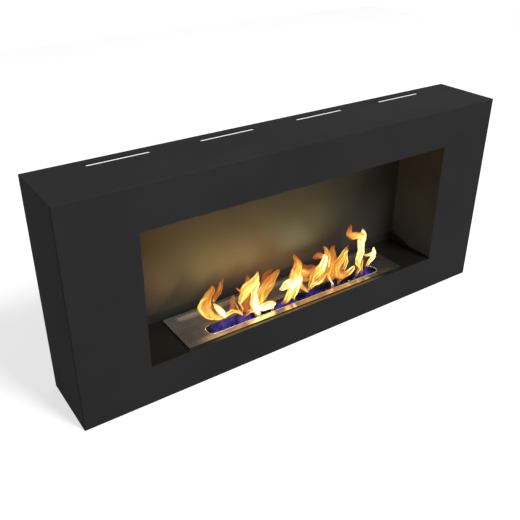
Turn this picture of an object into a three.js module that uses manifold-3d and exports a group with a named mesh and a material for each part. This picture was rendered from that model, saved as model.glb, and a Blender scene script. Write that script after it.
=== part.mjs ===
// Wall-hung bioethanol fireplace: a folded steel casing with an open back, a niche of lining
// panels, and a lift-out burner with a double-walled tank and a sliding shutter.
// Millimetres. +X to the right, +Y to the wall, +Z up. The origin is under the middle of the casing.
import * as THREE from "three";
import { mergeVertices } from "three/addons/utils/BufferGeometryUtils.js";
import Module from "manifold-3d";

const wasm = await Module();
wasm.setup();

// Casing: one folded and welded sheet, open to the wall.
const CASING_WIDTH = 900;
const CASING_HEIGHT = 400;
const CASING_DEPTH = 136;
const CASING_SHEET = 2;
const FOLD_RADIUS = 2.5; // outside radius of the folds round the front face
const SEAM_RADIUS = 1; // ground weld along the four edges that run to the wall
const SIDE_FLANGE = 25; // return flanges against the wall
const BOTTOM_FLANGE = 20;

// Fire opening in the front face.
const FRONT_SIDE_MARGIN = 125; // side of the casing to the opening
const FRONT_TOP_MARGIN = 75;
const OPENING_RISE = 75; // underside of the casing to the niche floor

// Hot air slots in the top.
const VENT_COUNT = 4;
const VENT_LENGTH = 110;
const VENT_WIDTH = 8;
const VENT_PITCH = 200;
const VENT_TO_WALL = 22.5; // middle of the slots to the wall

// Wall fixing.
const BRACKET_WIDTH = 60;
const BRACKET_HEIGHT = 80;
const BRACKET_SHEET = 2.5;
const BRACKET_CORNER_RADIUS = 3;
const BRACKET_GAP = 0.3; // to the casing's side and top
const KEYHOLE_ENTRY_RADIUS = 6; // passes the head of the wall screw
const KEYHOLE_NECK_WIDTH = 6; // holds its shank
const KEYHOLE_RISE = 14; // entry to the seat of the shank
const KEYHOLE_TO_SIDE = 50; // seat to the side of the casing
const KEYHOLE_TO_TOP = 36; // seat to the top of the casing
const SECURING_HOLE_RADIUS = 3; // screw holes in the bottom flange
const SECURING_HOLE_PITCH = 600;
const RIVET_RADIUS = 2;
const RIVET_HEAD_RADIUS = 3.5;
const RIVET_HEAD_HEIGHT = 1.4; // countersunk, flush with the wall side
const RIVET_TAIL_HEIGHT = 1.5;
const RIVET_EDGE = 12; // rivet to the bracket's top and bottom edge

// Niche lining.
const NICHE_DEPTH = 114; // front face of the casing to the niche's back panel
const LINER_SHEET = 1.5;
const LINER_FLANGE = 15;
const SCREW_PITCH = 220; // along the top and the bottom of the back panel
const SCREW_RADIUS = 2;
const SCREW_POINT_RADIUS = 1.2;
const SCREW_HEAD_RADIUS = 4;
const SCREW_HEAD_HEIGHT = 2.4;
const SCREW_HEAD_RIM = 0.8; // upright side of the head, below its dome
const SCREW_CROWN_RADIUS = 2.8; // flat on top of the dome
const SCREW_LENGTH = 6;
const SCREW_SOCKET_RADIUS = 1.4;
const SCREW_SOCKET_DEPTH = 1.4;
const HOLE_GAP = 0.3; // round each screw and rivet

// Burner top plate.
const SLOT_LENGTH = 400; // flame slot
const SLOT_WIDTH = 25;
const SLOT_CORNER_RADIUS = 10;
const PLATE_END_MARGIN = 50; // end of the slot to the end of the plate
const PLATE_SHEET = 2;
const PLATE_CORNER_RADIUS = 1.5;
const PLATE_FRONT_MARGIN = 8; // front face of the casing to the plate
const PLATE_REAR_GAP = 6; // plate to the niche's back panel
const PLATE_LEDGE = 5; // plate on the niche floor, front and rear
const PLATE_END_LEDGE = 13; // the same at the two ends
const GASKET_THICKNESS = 1; // glass-fibre tape under the plate
const GASKET_INSET = 0.5; // inside the plate's edge and outside the floor's cut-out

// Tank and tray under the plate.
const TRAY_SHEET = 1;
const TANK_SHEET = 1;
const TRAY_CLEARANCE = 1; // tray to the floor's cut-out
const TANK_GAP = 2; // tank to tray, on the sides and below
const TANK_DEPTH = 48;
const TANK_CORNER_RADIUS = 4;

// Ceramic wool and the grid that holds it down.
const WOOL_GAP = 0.5; // to the tank's walls
const WOOL_REST = 0.3; // to the tank's floor and the grid
const GRID_SHEET = 1;
const GRID_DROP = 10; // top plate to grid
const GRID_GAP = 0.5; // to the tank's walls
const GRID_HOLE = 7; // square holes
const GRID_PITCH = 12;
const GRID_ROWS = 2;

// Shutter and its rails.
const SHUTTER_SHEET = 1.5;
const SHUTTER_TOE = 3.5; // in front of the turned-up lip
const SHUTTER_FRONT_LAP = 2; // past the slot's front edge when closed
const SHUTTER_REAR_LAP = 8; // past the slot's rear edge when closed
const SHUTTER_SIDE_LAP = 13; // past each end of the slot
const SHUTTER_END_GAP = 0.5; // toe to the tank's wall when closed
const SHUTTER_TOP_GAP = 1; // shutter to top plate
const SHUTTER_REST = 0.3; // shutter to the rail that carries it
const SHUTTER_SIDE_GAP = 1; // shutter to the webs of the rails
const LIP_HEIGHT = 2; // above the top plate
const LIP_END_GAP = 12; // end of the slot to the end of the lip
const LIP_CLEARANCE = 0.5; // lip to the slot's rear edge when open
const TAB_HEIGHT = 8; // pull tab on the lip, above the top plate
const TAB_WIDTH = 18;
const TAB_CORNER_RADIUS = 2;
const TAB_HOLE_RADIUS = 2; // for the hook of the operating tool
const TAB_HOLE_TO_TOP = 4; // middle of the hole to the top of the tab
const TAB_TO_SLOT_END = 80; // middle of the tab to the slot's right end
const RAIL_SHEET = 1.2;
const RAIL_LEDGE = 9; // under the shutter
const RAIL_WELD_FLANGE = 8; // against the top plate
const RAIL_STOP_GAP = 0.5; // open shutter to the stop at the rear of the rail

// Steps on round edges, and the sides of a screw's socket.
const FOLD_STEPS = 4;
const HOLE_STEPS = 16;
const SOCKET_SIDES = 6;

const FINISHES = {
  powderCoat: { color: 0x303030, roughness: 0.75, metalness: 0.1 },
  stainless: { color: 0x8f8d88, roughness: 0.35, metalness: 1 },
  zincPlated: { color: 0xa3a49f, roughness: 0.45, metalness: 1 },
  ceramicWool: { color: 0xd9d6cd, roughness: 1, metalness: 0 },
  glassTape: { color: 0x141414, roughness: 0.95, metalness: 0 },
};

// ---- Places worked out from the sizes, in the frame of the niche: y from the front face of the
// ---- casing, z from the niche floor.

const opening = {
  halfWidth: CASING_WIDTH / 2 - FRONT_SIDE_MARGIN,
  height: CASING_HEIGHT - FRONT_TOP_MARGIN - OPENING_RISE,
};

const slot = { halfLength: SLOT_LENGTH / 2 };

const plate = {
  halfWidth: slot.halfLength + PLATE_END_MARGIN,
  front: PLATE_FRONT_MARGIN,
  rear: NICHE_DEPTH - PLATE_REAR_GAP,
  underside: GASKET_THICKNESS,
  top: GASKET_THICKNESS + PLATE_SHEET,
};

const cutOut = {
  halfWidth: plate.halfWidth - PLATE_END_LEDGE,
  front: plate.front + PLATE_LEDGE,
  rear: plate.rear - PLATE_LEDGE,
};

const tray = inset(cutOut, TRAY_CLEARANCE);
const tank = inset(tray, TRAY_SHEET + TANK_GAP);
const tankInside = inset(tank, TANK_SHEET);
const tankBottom = plate.underside - TANK_DEPTH;
const trayBottom = tankBottom - TANK_GAP - TRAY_SHEET;

slot.front = tankInside.front + SHUTTER_END_GAP + SHUTTER_FRONT_LAP;
slot.rear = slot.front + SLOT_WIDTH;

const shutter = { halfWidth: slot.halfLength + SHUTTER_SIDE_LAP };
shutter.lipRear = slot.rear - LIP_CLEARANCE;
shutter.lipFront = shutter.lipRear - SHUTTER_SHEET;
shutter.front = shutter.lipFront - SHUTTER_TOE;
shutter.travel = shutter.front - (slot.front - SHUTTER_FRONT_LAP);
shutter.rear = slot.rear + SHUTTER_REAR_LAP + shutter.travel;
shutter.top = plate.underside - SHUTTER_TOP_GAP;
shutter.underside = shutter.top - SHUTTER_SHEET;

const rail = {
  web: shutter.halfWidth + SHUTTER_SIDE_GAP,
  top: plate.underside,
  ledgeTop: shutter.underside - SHUTTER_REST,
  front: tankInside.front + SHUTTER_END_GAP,
  stop: shutter.rear + RAIL_STOP_GAP,
};

const lip = { halfLength: slot.halfLength - LIP_END_GAP, tab: slot.halfLength - TAB_TO_SLOT_END };

const grid = {
  top: plate.underside - GRID_DROP,
  underside: plate.underside - GRID_DROP - GRID_SHEET,
  columns: Math.floor(SLOT_LENGTH / GRID_PITCH) - 1,
};

function inset(area, by) {
  return { halfWidth: area.halfWidth - by, front: area.front + by, rear: area.rear - by };
}

// ---- Solids

function solidOf(geometry) {
  const bare = geometry.index ? geometry.clone() : geometry;
  bare.deleteAttribute("normal");
  bare.deleteAttribute("uv");
  const merged = mergeVertices(bare, 1e-4);
  const mesh = new wasm.Mesh({
    numProp: 3,
    vertProperties: new Float32Array(merged.attributes.position.array),
    triVerts: new Uint32Array(merged.index.array),
  });
  return new wasm.Manifold(mesh);
}

function geometryOf(solid) {
  const mesh = solid.getMesh();
  const geometry = new THREE.BufferGeometry();
  geometry.setAttribute("position", new THREE.BufferAttribute(mesh.vertProperties, mesh.numProp));
  geometry.setIndex(new THREE.BufferAttribute(mesh.triVerts, 1));
  const faceted = geometry.toNonIndexed();
  faceted.computeVertexNormals();
  return faceted;
}

function block(x0, x1, y0, y1, z0, z1) {
  const geometry = new THREE.BoxGeometry(x1 - x0, y1 - y0, z1 - z0);
  geometry.translate((x0 + x1) / 2, (y0 + y1) / 2, (z0 + z1) / 2);
  return solidOf(geometry);
}

function union(solids) {
  return solids.reduce((whole, next) => whole.add(next));
}

function cut(solid, tools) {
  return tools.reduce((left, tool) => left.subtract(tool), solid);
}

// An outline in (x, y), extruded up from z0 to z1.
function alongZ(outline, z0, z1) {
  const geometry = new THREE.ExtrudeGeometry(outline, extrusion(z1 - z0));
  return solidOf(geometry.translate(0, 0, z0));
}

// An outline in (x, z), extruded from y0 to y1.
function alongY(outline, y0, y1) {
  const geometry = new THREE.ExtrudeGeometry(outline, extrusion(y1 - y0));
  return solidOf(geometry.rotateX(Math.PI / 2).translate(0, y1, 0));
}

// An outline in (y, z), extruded from x0 to x1.
function alongX(outline, x0, x1) {
  const geometry = new THREE.ExtrudeGeometry(outline, extrusion(x1 - x0));
  const turn = new THREE.Matrix4().makeBasis(
    new THREE.Vector3(0, 1, 0),
    new THREE.Vector3(0, 0, 1),
    new THREE.Vector3(1, 0, 0),
  );
  return solidOf(geometry.applyMatrix4(turn).translate(x0, 0, 0));
}

function extrusion(depth) {
  return { depth, bevelEnabled: false, curveSegments: FOLD_STEPS };
}

// A rectangle with a radius for each corner: low-low, high-low, high-high, low-high.
function rectangle(a0, a1, b0, b1, radii = [0, 0, 0, 0]) {
  const [r0, r1, r2, r3] = radii;
  const outline = new THREE.Shape();
  outline.moveTo(a0 + r0, b0);
  corner(outline, a1 - r1, b0 + r1, r1, -Math.PI / 2);
  corner(outline, a1 - r2, b1 - r2, r2, 0);
  corner(outline, a0 + r3, b1 - r3, r3, Math.PI / 2);
  if (r0 > 0) corner(outline, a0 + r0, b0 + r0, r0, Math.PI);
  return outline;
}

function corner(outline, a, b, radius, from) {
  if (radius > 0) outline.absarc(a, b, radius, from, from + Math.PI / 2, false);
  else outline.lineTo(a, b);
}

function evenRectangle(a0, a1, b0, b1, radius) {
  return rectangle(a0, a1, b0, b1, [radius, radius, radius, radius]);
}

// A round hole along Y through a sheet, at (x, z).
function holeAlongY(x, z, radius, y0, y1) {
  const geometry = new THREE.CylinderGeometry(radius, radius, y1 - y0, HOLE_STEPS);
  return solidOf(geometry.translate(x, (y0 + y1) / 2, z));
}

// A turned piece whose profile runs from the axis to the axis, with the axis along Y.
function turnedAlongY(profile, x, z) {
  const points = profile.map(([radius, y]) => new THREE.Vector2(radius, y));
  const geometry = new THREE.LatheGeometry(points, HOLE_STEPS);
  return solidOf(geometry.translate(x, 0, z));
}

function mirrored(solid) {
  return solid.mirror([1, 0, 0]);
}

function piece(name, solid, finish) {
  const mesh = new THREE.Mesh(geometryOf(solid), new THREE.MeshStandardMaterial(FINISHES[finish]));
  mesh.name = name;
  return mesh;
}

function groupOf(pieces, y = 0, z = 0) {
  const group = new THREE.Group();
  group.position.set(0, y, z);
  group.add(...pieces);
  return group;
}

// ---- Casing, in its own frame: y from its front face, z from its underside.

// The space inside or outside the folded sheet: three outlines that meet in rounded edges.
function foldedBox(gap, rear) {
  const x = CASING_WIDTH / 2 - gap;
  const top = CASING_HEIGHT - gap;
  const fold = Math.max(FOLD_RADIUS - gap, 0);
  const seam = Math.max(SEAM_RADIUS - gap, 0);
  const front = alongY(evenRectangle(-x, x, gap, top, seam), gap, rear);
  const plan = alongZ(rectangle(-x, x, gap, rear, [fold, fold, 0, 0]), gap, top);
  const side = alongX(rectangle(gap, rear, gap, top, [fold, 0, 0, fold]), -x, x);
  return front.intersect(plan).intersect(side);
}

function ventPlaces() {
  const first = (-VENT_PITCH * (VENT_COUNT - 1)) / 2;
  return Array.from({ length: VENT_COUNT }, (_, i) => first + i * VENT_PITCH);
}

function ventCut(x) {
  const y = CASING_DEPTH - VENT_TO_WALL;
  const half = VENT_LENGTH / 2;
  const radius = VENT_WIDTH / 2;
  const outline = new THREE.Shape();
  outline.absarc(x + half - radius, y, radius, -Math.PI / 2, Math.PI / 2, false);
  outline.absarc(x - half + radius, y, radius, Math.PI / 2, (3 * Math.PI) / 2, false);
  return alongZ(outline, CASING_HEIGHT - 2 * CASING_SHEET, CASING_HEIGHT + CASING_SHEET);
}

function outerCasing() {
  const openingCut = block(
    -opening.halfWidth,
    opening.halfWidth,
    -CASING_SHEET,
    2 * CASING_SHEET,
    OPENING_RISE,
    OPENING_RISE + opening.height,
  );
  const rearWindow = block(
    SIDE_FLANGE - CASING_WIDTH / 2,
    CASING_WIDTH / 2 - SIDE_FLANGE,
    CASING_DEPTH / 2,
    CASING_DEPTH + CASING_SHEET,
    BOTTOM_FLANGE,
    CASING_HEIGHT - CASING_SHEET,
  );
  const securingHoles = [-1, 1].map((side) =>
    holeAlongY(
      (side * SECURING_HOLE_PITCH) / 2,
      (CASING_SHEET + BOTTOM_FLANGE) / 2,
      SECURING_HOLE_RADIUS,
      CASING_DEPTH - 2 * CASING_SHEET,
      CASING_DEPTH + CASING_SHEET,
    ),
  );
  return cut(foldedBox(0, CASING_DEPTH), [
    foldedBox(CASING_SHEET, CASING_DEPTH - CASING_SHEET),
    openingCut,
    rearWindow,
    ...ventPlaces().map(ventCut),
    ...securingHoles,
    ...rivetPlaces(-1).map(rivetHole),
    ...rivetPlaces(1).map(rivetHole),
  ]);
}

// ---- Hanging brackets, in the casing's frame

const bracket = {
  outer: CASING_WIDTH / 2 - CASING_SHEET - BRACKET_GAP,
  top: CASING_HEIGHT - CASING_SHEET - BRACKET_GAP,
  rear: CASING_DEPTH - CASING_SHEET,
};
bracket.inner = bracket.outer - BRACKET_WIDTH;
bracket.bottom = bracket.top - BRACKET_HEIGHT;
bracket.front = bracket.rear - BRACKET_SHEET;

// On the middle line of the casing's side flange.
function rivetPlaces(side) {
  const x = (side * (CASING_WIDTH - SIDE_FLANGE)) / 2;
  return [bracket.top - RIVET_EDGE, bracket.bottom + RIVET_EDGE].map((z) => ({ x, z }));
}

const tail = { seat: bracket.front - HOLE_GAP, end: bracket.front - HOLE_GAP - RIVET_TAIL_HEIGHT };

// Countersunk from the wall side, straight through flange and bracket.
function rivetHole({ x, z }) {
  const bore = RIVET_RADIUS + HOLE_GAP;
  const sink = RIVET_HEAD_RADIUS + HOLE_GAP;
  const profile = [
    [0, tail.end],
    [bore, tail.end],
    [bore, CASING_DEPTH - RIVET_HEAD_HEIGHT],
    [sink, CASING_DEPTH],
    [sink, CASING_DEPTH + HOLE_GAP],
    [0, CASING_DEPTH + HOLE_GAP],
  ];
  return turnedAlongY(profile, x, z);
}

// Flush head at the wall side, and a set tail in front of the bracket.
function rivet({ x, z }) {
  const profile = [
    [0, tail.end],
    [RIVET_RADIUS, tail.end],
    [RIVET_HEAD_RADIUS, (tail.end + tail.seat) / 2],
    [RIVET_HEAD_RADIUS, tail.seat],
    [RIVET_RADIUS, tail.seat],
    [RIVET_RADIUS, CASING_DEPTH - RIVET_HEAD_HEIGHT],
    [RIVET_HEAD_RADIUS, CASING_DEPTH],
    [0, CASING_DEPTH],
  ];
  return turnedAlongY(profile, x, z);
}

function hangingBracket(side) {
  const sheet = alongY(
    evenRectangle(bracket.inner, bracket.outer, bracket.bottom, bracket.top, BRACKET_CORNER_RADIUS),
    bracket.front,
    bracket.rear,
  );
  const x = CASING_WIDTH / 2 - KEYHOLE_TO_SIDE;
  const seat = CASING_HEIGHT - KEYHOLE_TO_TOP;
  const entry = seat - KEYHOLE_RISE;
  const half = KEYHOLE_NECK_WIDTH / 2;
  const y0 = bracket.front - BRACKET_SHEET;
  const y1 = bracket.rear + BRACKET_SHEET;
  const plain = cut(sheet, [
    holeAlongY(x, entry, KEYHOLE_ENTRY_RADIUS, y0, y1),
    holeAlongY(x, seat, half, y0, y1),
    block(x - half, x + half, y0, y1, entry, seat),
  ]);
  return cut(side > 0 ? plain : mirrored(plain), rivetPlaces(side).map(rivetHole));
}

function casingPieces() {
  const sides = [
    ["left", -1],
    ["right", 1],
  ];
  const heights = ["upper", "lower"];
  return [
    piece("outer_casing", outerCasing(), "powderCoat"),
    ...sides.map(([name, side]) => piece(`hanging_bracket_${name}`, hangingBracket(side), "zincPlated")),
    ...sides.flatMap(([name, side]) =>
      rivetPlaces(side).map((place, i) =>
        piece(`bracket_rivet_${name}_${heights[i]}`, rivet(place), "zincPlated"),
      ),
    ),
  ];
}

// ---- Niche lining

// The screws that hold the back panel, on the middle lines of the panels' flanges.
function screwPlaces() {
  const out = LINER_SHEET + (LINER_FLANGE - LINER_SHEET) / 2;
  const row = [-SCREW_PITCH, 0, SCREW_PITCH];
  return {
    ceiling: row.map((x) => ({ x, z: opening.height + out })),
    floor: row.map((x) => ({ x, z: -out })),
    left: [{ x: -opening.halfWidth - out, z: opening.height / 2 }],
    right: [{ x: opening.halfWidth + out, z: opening.height / 2 }],
  };
}

function screwHole({ x, z }) {
  const y0 = NICHE_DEPTH - 2 * LINER_SHEET;
  const y1 = NICHE_DEPTH + 2 * LINER_SHEET;
  return holeAlongY(x, z, SCREW_RADIUS + HOLE_GAP, y0, y1);
}

// The lining runs from the back of the casing's front sheet to the back panel.
const lining = { front: CASING_SHEET, rear: NICHE_DEPTH };

// A ceiling or floor panel as seen from its end: a web with a flange turned away from the fire at
// each end. reach is where the flanges stop, on the side away from the fire.
function channelOutline(surface, outward) {
  const back = surface + outward * LINER_SHEET;
  const reach = surface + outward * LINER_FLANGE;
  const outline = new THREE.Shape();
  outline.moveTo(lining.front, surface);
  outline.lineTo(lining.rear, surface);
  outline.lineTo(lining.rear, reach);
  outline.lineTo(lining.rear - LINER_SHEET, reach);
  outline.lineTo(lining.rear - LINER_SHEET, back);
  outline.lineTo(lining.front + LINER_SHEET, back);
  outline.lineTo(lining.front + LINER_SHEET, reach);
  outline.lineTo(lining.front, reach);
  return outline;
}

function nicheCeilingPanel() {
  const web = opening.halfWidth + LINER_SHEET;
  const panel = alongX(channelOutline(opening.height, 1), -web, web);
  return cut(panel, screwPlaces().ceiling.map(screwHole));
}

function nicheFloorPanel() {
  const web = opening.halfWidth + LINER_SHEET;
  const burnerCut = block(
    -cutOut.halfWidth,
    cutOut.halfWidth,
    cutOut.front,
    cutOut.rear,
    -2 * LINER_SHEET,
    LINER_SHEET,
  );
  const panel = alongX(channelOutline(0, -1), -web, web);
  return cut(panel, [burnerCut, ...screwPlaces().floor.map(screwHole)]);
}

function nicheSidePanel() {
  const inside = opening.halfWidth;
  const back = inside + LINER_SHEET;
  const reach = inside + LINER_FLANGE;
  const outline = new THREE.Shape();
  outline.moveTo(inside, lining.front);
  outline.lineTo(reach, lining.front);
  outline.lineTo(reach, lining.front + LINER_SHEET);
  outline.lineTo(back, lining.front + LINER_SHEET);
  outline.lineTo(back, lining.rear - LINER_SHEET);
  outline.lineTo(reach, lining.rear - LINER_SHEET);
  outline.lineTo(reach, lining.rear);
  outline.lineTo(inside, lining.rear);
  return cut(alongZ(outline, 0, opening.height), screwPlaces().right.map(screwHole));
}

function nicheBackPanel() {
  const reach = LINER_FLANGE;
  const sheet = block(
    -opening.halfWidth - reach,
    opening.halfWidth + reach,
    NICHE_DEPTH,
    NICHE_DEPTH + LINER_SHEET,
    -reach,
    opening.height + reach,
  );
  return cut(sheet, Object.values(screwPlaces()).flat().map(screwHole));
}

// Domed head with a hexagon socket, driven from the wall side.
function backPanelScrew({ x, z }) {
  const seat = NICHE_DEPTH + LINER_SHEET;
  const head = seat + SCREW_HEAD_HEIGHT;
  const profile = [
    [0, seat - SCREW_LENGTH],
    [SCREW_POINT_RADIUS, seat - SCREW_LENGTH],
    [SCREW_RADIUS, seat - SCREW_LENGTH + SCREW_RADIUS],
    [SCREW_RADIUS, seat],
    [SCREW_HEAD_RADIUS, seat],
    [SCREW_HEAD_RADIUS, seat + SCREW_HEAD_RIM],
    [SCREW_CROWN_RADIUS, head],
    [0, head],
  ];
  const radius = SCREW_SOCKET_RADIUS;
  const socket = new THREE.CylinderGeometry(radius, radius, 2 * SCREW_SOCKET_DEPTH, SOCKET_SIDES);
  return turnedAlongY(profile, x, z).subtract(solidOf(socket.translate(x, head, z)));
}

function nichePieces() {
  const side = nicheSidePanel();
  const screws = Object.values(screwPlaces()).flat();
  return [
    piece("niche_back_panel", nicheBackPanel(), "powderCoat"),
    piece("niche_left_panel", mirrored(side), "powderCoat"),
    piece("niche_right_panel", side, "powderCoat"),
    piece("niche_ceiling_panel", nicheCeilingPanel(), "powderCoat"),
    piece("niche_floor_panel", nicheFloorPanel(), "powderCoat"),
    ...screws.map((place, i) => piece(`back_panel_screw_${i + 1}`, backPanelScrew(place), "zincPlated")),
  ];
}

// ---- Burner

function areaOutline(area, radius) {
  return evenRectangle(-area.halfWidth, area.halfWidth, area.front, area.rear, radius);
}

function burnerTopPlate() {
  const sheet = alongZ(areaOutline(plate, PLATE_CORNER_RADIUS), plate.underside, plate.top);
  const slotOutline = evenRectangle(
    -slot.halfLength,
    slot.halfLength,
    slot.front,
    slot.rear,
    Math.min(SLOT_CORNER_RADIUS, SLOT_WIDTH / 2),
  );
  return sheet.subtract(alongZ(slotOutline, plate.underside - PLATE_SHEET, plate.top + PLATE_SHEET));
}

function burnerGasket() {
  const frame = alongZ(areaOutline(inset(plate, GASKET_INSET), 0), 0, plate.underside);
  const hole = areaOutline(inset(cutOut, -GASKET_INSET), 0);
  return frame.subtract(alongZ(hole, -plate.underside, 2 * plate.underside));
}

// An open-topped box that hangs from the underside of the top plate.
function vessel(area, sheet, bottom) {
  const outside = alongZ(areaOutline(area, TANK_CORNER_RADIUS), bottom, plate.underside);
  const inside = areaOutline(inset(area, sheet), TANK_CORNER_RADIUS - sheet);
  return outside.subtract(alongZ(inside, bottom + sheet, plate.underside + sheet));
}

function ceramicWoolPad() {
  const outline = areaOutline(inset(tankInside, WOOL_GAP), TANK_CORNER_RADIUS);
  return alongZ(outline, tankBottom + TANK_SHEET + WOOL_REST, grid.underside - WOOL_REST);
}

function gridHole(row, column) {
  const x = (column - (grid.columns - 1) / 2) * GRID_PITCH;
  const y = (slot.front + slot.rear) / 2 + (row - (GRID_ROWS - 1) / 2) * GRID_PITCH;
  const half = GRID_HOLE / 2;
  const z0 = grid.underside - GRID_SHEET;
  const z1 = grid.top + GRID_SHEET;
  return block(x - half, x + half, y - half, y + half, z0, z1);
}

function woolGrid() {
  const outline = areaOutline(inset(tankInside, GRID_GAP), TANK_CORNER_RADIUS);
  const sheet = alongZ(outline, grid.underside, grid.top);
  const holes = [];
  for (let row = 0; row < GRID_ROWS; row += 1) {
    for (let column = 0; column < grid.columns; column += 1) {
      holes.push(gridHole(row, column));
    }
  }
  return cut(sheet, holes);
}

function burnerPieces() {
  return [
    piece("burner_top_plate", burnerTopPlate(), "stainless"),
    piece("burner_gasket", burnerGasket(), "glassTape"),
    piece("drip_tray", vessel(tray, TRAY_SHEET, trayBottom), "stainless"),
    piece("fuel_tank", vessel(tank, TANK_SHEET, tankBottom), "stainless"),
    piece("ceramic_wool_pad", ceramicWoolPad(), "ceramicWool"),
    piece("wool_grid", woolGrid(), "stainless"),
    piece("shutter_rail_left", mirrored(shutterRail()), "stainless"),
    piece("shutter_rail_right", shutterRail(), "stainless"),
  ];
}

// ---- Shutter, shown open: its flat part lies behind the slot, under the top plate

function shutterPlate() {
  const flat = block(
    -shutter.halfWidth,
    shutter.halfWidth,
    shutter.front,
    shutter.rear,
    shutter.underside,
    shutter.top,
  );
  const turnedUp = block(
    -lip.halfLength,
    lip.halfLength,
    shutter.lipFront,
    shutter.lipRear,
    shutter.underside,
    plate.top + LIP_HEIGHT,
  );
  const tabTop = plate.top + TAB_HEIGHT;
  const tabOutline = rectangle(
    lip.tab - TAB_WIDTH / 2,
    lip.tab + TAB_WIDTH / 2,
    shutter.underside,
    tabTop,
    [0, 0, TAB_CORNER_RADIUS, TAB_CORNER_RADIUS],
  );
  const hole = holeAlongY(
    lip.tab,
    tabTop - TAB_HOLE_TO_TOP,
    TAB_HOLE_RADIUS,
    shutter.lipFront - SHUTTER_SHEET,
    shutter.lipRear + SHUTTER_SHEET,
  );
  return union([flat, turnedUp, alongY(tabOutline, shutter.lipFront, shutter.lipRear)]).subtract(hole);
}

// Right rail: a Z of sheet, welded to the top plate, with a ledge under the shutter and a stop
// at its rear end.
function shutterRail() {
  const outline = new THREE.Shape();
  const ledgeUnderside = rail.ledgeTop - RAIL_SHEET;
  outline.moveTo(rail.web - RAIL_LEDGE, ledgeUnderside);
  outline.lineTo(rail.web + RAIL_SHEET, ledgeUnderside);
  outline.lineTo(rail.web + RAIL_SHEET, rail.top - RAIL_SHEET);
  outline.lineTo(rail.web + RAIL_WELD_FLANGE, rail.top - RAIL_SHEET);
  outline.lineTo(rail.web + RAIL_WELD_FLANGE, rail.top);
  outline.lineTo(rail.web, rail.top);
  outline.lineTo(rail.web, rail.ledgeTop);
  outline.lineTo(rail.web - RAIL_LEDGE, rail.ledgeTop);
  const stop = block(
    rail.web - RAIL_LEDGE,
    rail.web + RAIL_SHEET,
    rail.stop,
    rail.stop + RAIL_SHEET,
    ledgeUnderside,
    rail.top - RAIL_SHEET,
  );
  return alongY(outline, rail.front, rail.stop + RAIL_SHEET).add(stop);
}

// ---- The fireplace

const shutterGroup = groupOf([piece("shutter_plate", shutterPlate(), "stainless")]);
const burnerGroup = groupOf([...burnerPieces(), shutterGroup]);
const nicheGroup = groupOf([...nichePieces(), burnerGroup], 0, OPENING_RISE);
const fireplace = groupOf([...casingPieces(), nicheGroup], -CASING_DEPTH / 2, 0);

export default fireplace;
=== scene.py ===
"""A wall-hung bioethanol fireplace, dressed for rendering.

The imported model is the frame: its steel pieces stay as they are and get their finishes here. The
trim of the burner's plate, the glass-fibre tape, the ceramic wool and the fire are built round it.
Metres, +X to the right, +Y to the wall, +Z up, the origin under the middle of the casing.
"""

import logging
import math
from dataclasses import dataclass
from enum import Enum

import bpy
import numpy as np
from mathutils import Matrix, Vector, noise


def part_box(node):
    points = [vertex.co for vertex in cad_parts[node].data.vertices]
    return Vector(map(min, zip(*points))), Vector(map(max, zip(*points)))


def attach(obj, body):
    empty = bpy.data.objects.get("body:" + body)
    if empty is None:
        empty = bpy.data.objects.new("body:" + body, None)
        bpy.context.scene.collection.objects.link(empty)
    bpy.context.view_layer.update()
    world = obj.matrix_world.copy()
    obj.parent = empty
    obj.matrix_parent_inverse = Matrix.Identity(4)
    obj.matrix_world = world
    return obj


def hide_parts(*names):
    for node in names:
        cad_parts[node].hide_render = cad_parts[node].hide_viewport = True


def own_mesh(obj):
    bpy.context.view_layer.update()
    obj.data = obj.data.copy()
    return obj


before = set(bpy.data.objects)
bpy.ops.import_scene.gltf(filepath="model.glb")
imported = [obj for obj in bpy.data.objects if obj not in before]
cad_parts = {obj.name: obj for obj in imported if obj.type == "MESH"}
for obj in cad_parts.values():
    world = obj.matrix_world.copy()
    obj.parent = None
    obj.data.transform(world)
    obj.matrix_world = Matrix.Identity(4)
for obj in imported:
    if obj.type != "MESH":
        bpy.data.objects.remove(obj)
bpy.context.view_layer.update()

log = logging.getLogger("fireplace")

MM = 0.001
HEAT = "flame_heat"
FLOW = "flame_flow"
WHITE = (1, 1, 1, 1)
BLACK = (0, 0, 0, 1)
TINY = 1e-6

Pair = tuple[float, float]
Colour = tuple[float, float, float]
Point = tuple[float, float, float]
Socket = bpy.types.NodeSocket


class Body(Enum):
    """The bodies that pieces ride on."""

    BURNER = "burner"
    SHUTTER = "shutter"


class Slot(Enum):
    """The material slots of the record."""

    POWDER = "black_powder_coat"
    ENAMEL = "niche_enamel"
    ZINC = "zinc_plated_steel"
    STEEL = "brushed_stainless"
    WOOL = "ceramic_wool"
    TAPE = "glass_fibre_tape"


# ---- Materials


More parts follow.
